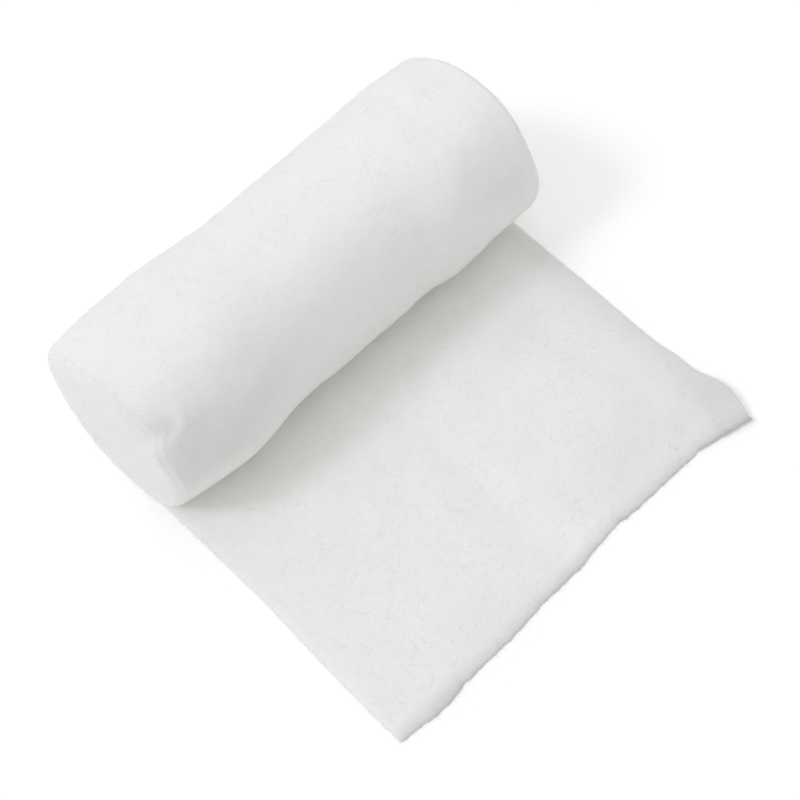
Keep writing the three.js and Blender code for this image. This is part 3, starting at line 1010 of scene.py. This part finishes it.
class OBJECT_OT_padding_strip(bpy.types.Operator):
    """Winds the padding strip as one closed surface"""

    bl_idname = "object.padding_strip"
    bl_label = "Padding strip"

    def execute(self, context):
        surface = strip_surface(Strip(context.scene.padding_sizes))
        material = padding_material(context.scene.padding_looks)
        parts = {name: surface[name] for name in ("points", "faces", "uv", "shade_and_greying")}
        ride_as_padding(mesh_object("padding_strip", material, **parts))
        return {"FINISHED"}


class OBJECT_OT_stray_fibres(bpy.types.Operator):
    """Scatters fine fibres that stand off the padding"""

    bl_idname = "object.padding_fibres"
    bl_label = "Stray fibres"

    def execute(self, context):
        scene = context.scene
        sizes, fibres = scene.padding_sizes, scene.padding_fibres
        beds = fibre_beds(strip_surface(Strip(sizes)))
        lines, normals = fibre_lines(beds, fibres, np.random.default_rng(FIBRE_SEED))
        points, faces = fibre_tubes(lines, normals, fibres.radius / MM)
        piece = mesh_object("stray_fibres", fibre_material(scene.padding_looks), points, faces)
        ride_as_padding(piece)
        return {"FINISHED"}


class OBJECT_OT_padding_stage(bpy.types.Operator):
    """Makes the floor, the lights and the camera"""

    bl_idname = "object.padding_stage"
    bl_label = "Stage"

    def execute(self, context):
        stage = context.scene.padding_stage
        make_floor(stage)
        make_lights(stage)
        make_camera(stage)
        context.scene.view_settings.view_transform = "Standard"
        return {"FINISHED"}


def make_floor(stage):
    """A round floor: rings of points, at their radius times the cosine and sine of their turn, and one
    point in the middle."""
    level = (cad_low.z - FLOOR_DROP) / MM
    turn = np.linspace(0, 2 * math.pi, FLOOR_SIDES, endpoint=False)
    rings = FLOOR_RADIUS / MM * np.linspace(FLOOR_HUB, 1, FLOOR_RINGS)[:, None]
    height = np.full((FLOOR_RINGS, FLOOR_SIDES), level)
    points = np.stack([rings * np.cos(turn), rings * np.sin(turn), height], axis=-1)
    numbers = point_numbers(points)
    middle = np.full(FLOOR_SIDES, numbers.size)
    hub = np.stack([middle, numbers[0], np.roll(numbers[0], -1)], axis=-1)
    points = np.concatenate([points.reshape(-1, 3), [[0, 0, level]]])
    floor = mesh_object("floor", floor_material(stage), points, [ring_quads(numbers), hub])


def direction(turn, height):
    """The direction at a turn about Z and a height over the floor: the cosine of the height times the
    cosine and sine of the turn, and the sine of the height."""
    level = math.cos(height)
    return Vector((level * math.cos(turn), level * math.sin(turn), math.sin(height)))


def make_lights(stage):
    """A soft main light from the left, a weaker and lower one from behind, and light all round, whose
    strength goes from the horizon's to the zenith's with the height it comes from."""
    suns = ("key", stage.key_strength, KEY_PLACE), ("back", stage.back_strength, BACK_PLACE)
    for name, strength, place in suns:
        light = bpy.data.lights.new(name, "SUN")
        light.angle = math.radians(LIGHT_SPREAD)
        light.energy = strength
        light.color = LIGHT_COLOUR
        lamp = add_object(name, light)
        lamp.location = direction(*map(math.radians, place))
        lamp.rotation_euler = lamp.location.to_track_quat("Z", "Y").to_euler()
    world = bpy.data.worlds.new("studio")
    sky = Shader(world)
    way = sky.node("ShaderNodeTexCoord")["Generated"]
    height = sky.node("ShaderNodeSeparateXYZ", None, {"Vector": way})["Z"].largest(0)
    strength = stage.sky_zenith * height + stage.sky_horizon * (1 - height)
    values = {"Color": opaque(SKY_COLOUR), "Strength": strength}
    glow = sky.node("ShaderNodeBackground", None, values)["Background"]
    sky.node("ShaderNodeOutputWorld", None, {"Surface": glow})
    bpy.context.scene.world = world


def make_camera(stage):
    """The view of the target from the distance, turned about the line of sight by the roll."""
    back = direction(stage.azimuth - math.pi / 2, stage.elevation)
    level = direction(stage.azimuth, 0)
    upright = back.cross(level)
    right = math.cos(stage.roll) * level + math.sin(stage.roll) * upright
    up = math.cos(stage.roll) * upright - math.sin(stage.roll) * level
    lens = bpy.data.cameras.new("camera")
    lens.lens = stage.lens
    lens.sensor_width = SENSOR_WIDTH
    lens.clip_start = NEAREST
    lens.clip_end = FURTHEST
    camera = add_object("camera", lens)
    turned = Matrix((right, up, back)).transposed().to_4x4()
    camera.matrix_world = Matrix.Translation(Vector(stage.target) + back * stage.distance) @ turned
    bpy.context.scene.camera = camera


class VIEW3D_PT_padding_roll(bpy.types.Panel):
    """Lists the sizes, the looks and the steps of the padding roll"""

    bl_label = "Cast padding roll"
    bl_space_type = "VIEW_3D"
    bl_region_type = "UI"
    bl_category = "Padding Roll"

    def draw(self, context):
        for group in GROUPS:
            settings = getattr(context.scene, group)
            box = self.layout.box()
            for name in settings.__annotations__:
                box.prop(settings, name)
        for operator in OPERATORS:
            self.layout.operator(operator.bl_idname)


GROUPS = {
    "padding_sizes": StripSizes,
    "padding_looks": PaddingLooks,
    "padding_fibres": FibreSizes,
    "padding_stage": StageSettings,
}
OPERATORS = (OBJECT_OT_padding_strip, OBJECT_OT_stray_fibres, OBJECT_OT_padding_stage)
CLASSES = (*GROUPS.values(), *OPERATORS, VIEW3D_PT_padding_roll)


def register():
    for each in CLASSES:
        bpy.utils.register_class(each)
    for name, group in GROUPS.items():
        setattr(bpy.types.Scene, name, PointerProperty(type=group))


def unregister():
    for name in GROUPS:
        delattr(bpy.types.Scene, name)
    for each in reversed(CLASSES):
        bpy.utils.unregister_class(each)


def main():
    register()
    bpy.ops.object.padding_strip()
    bpy.ops.object.padding_fibres()
    bpy.ops.object.padding_stage()


if __name__ == "__main__":
    main()
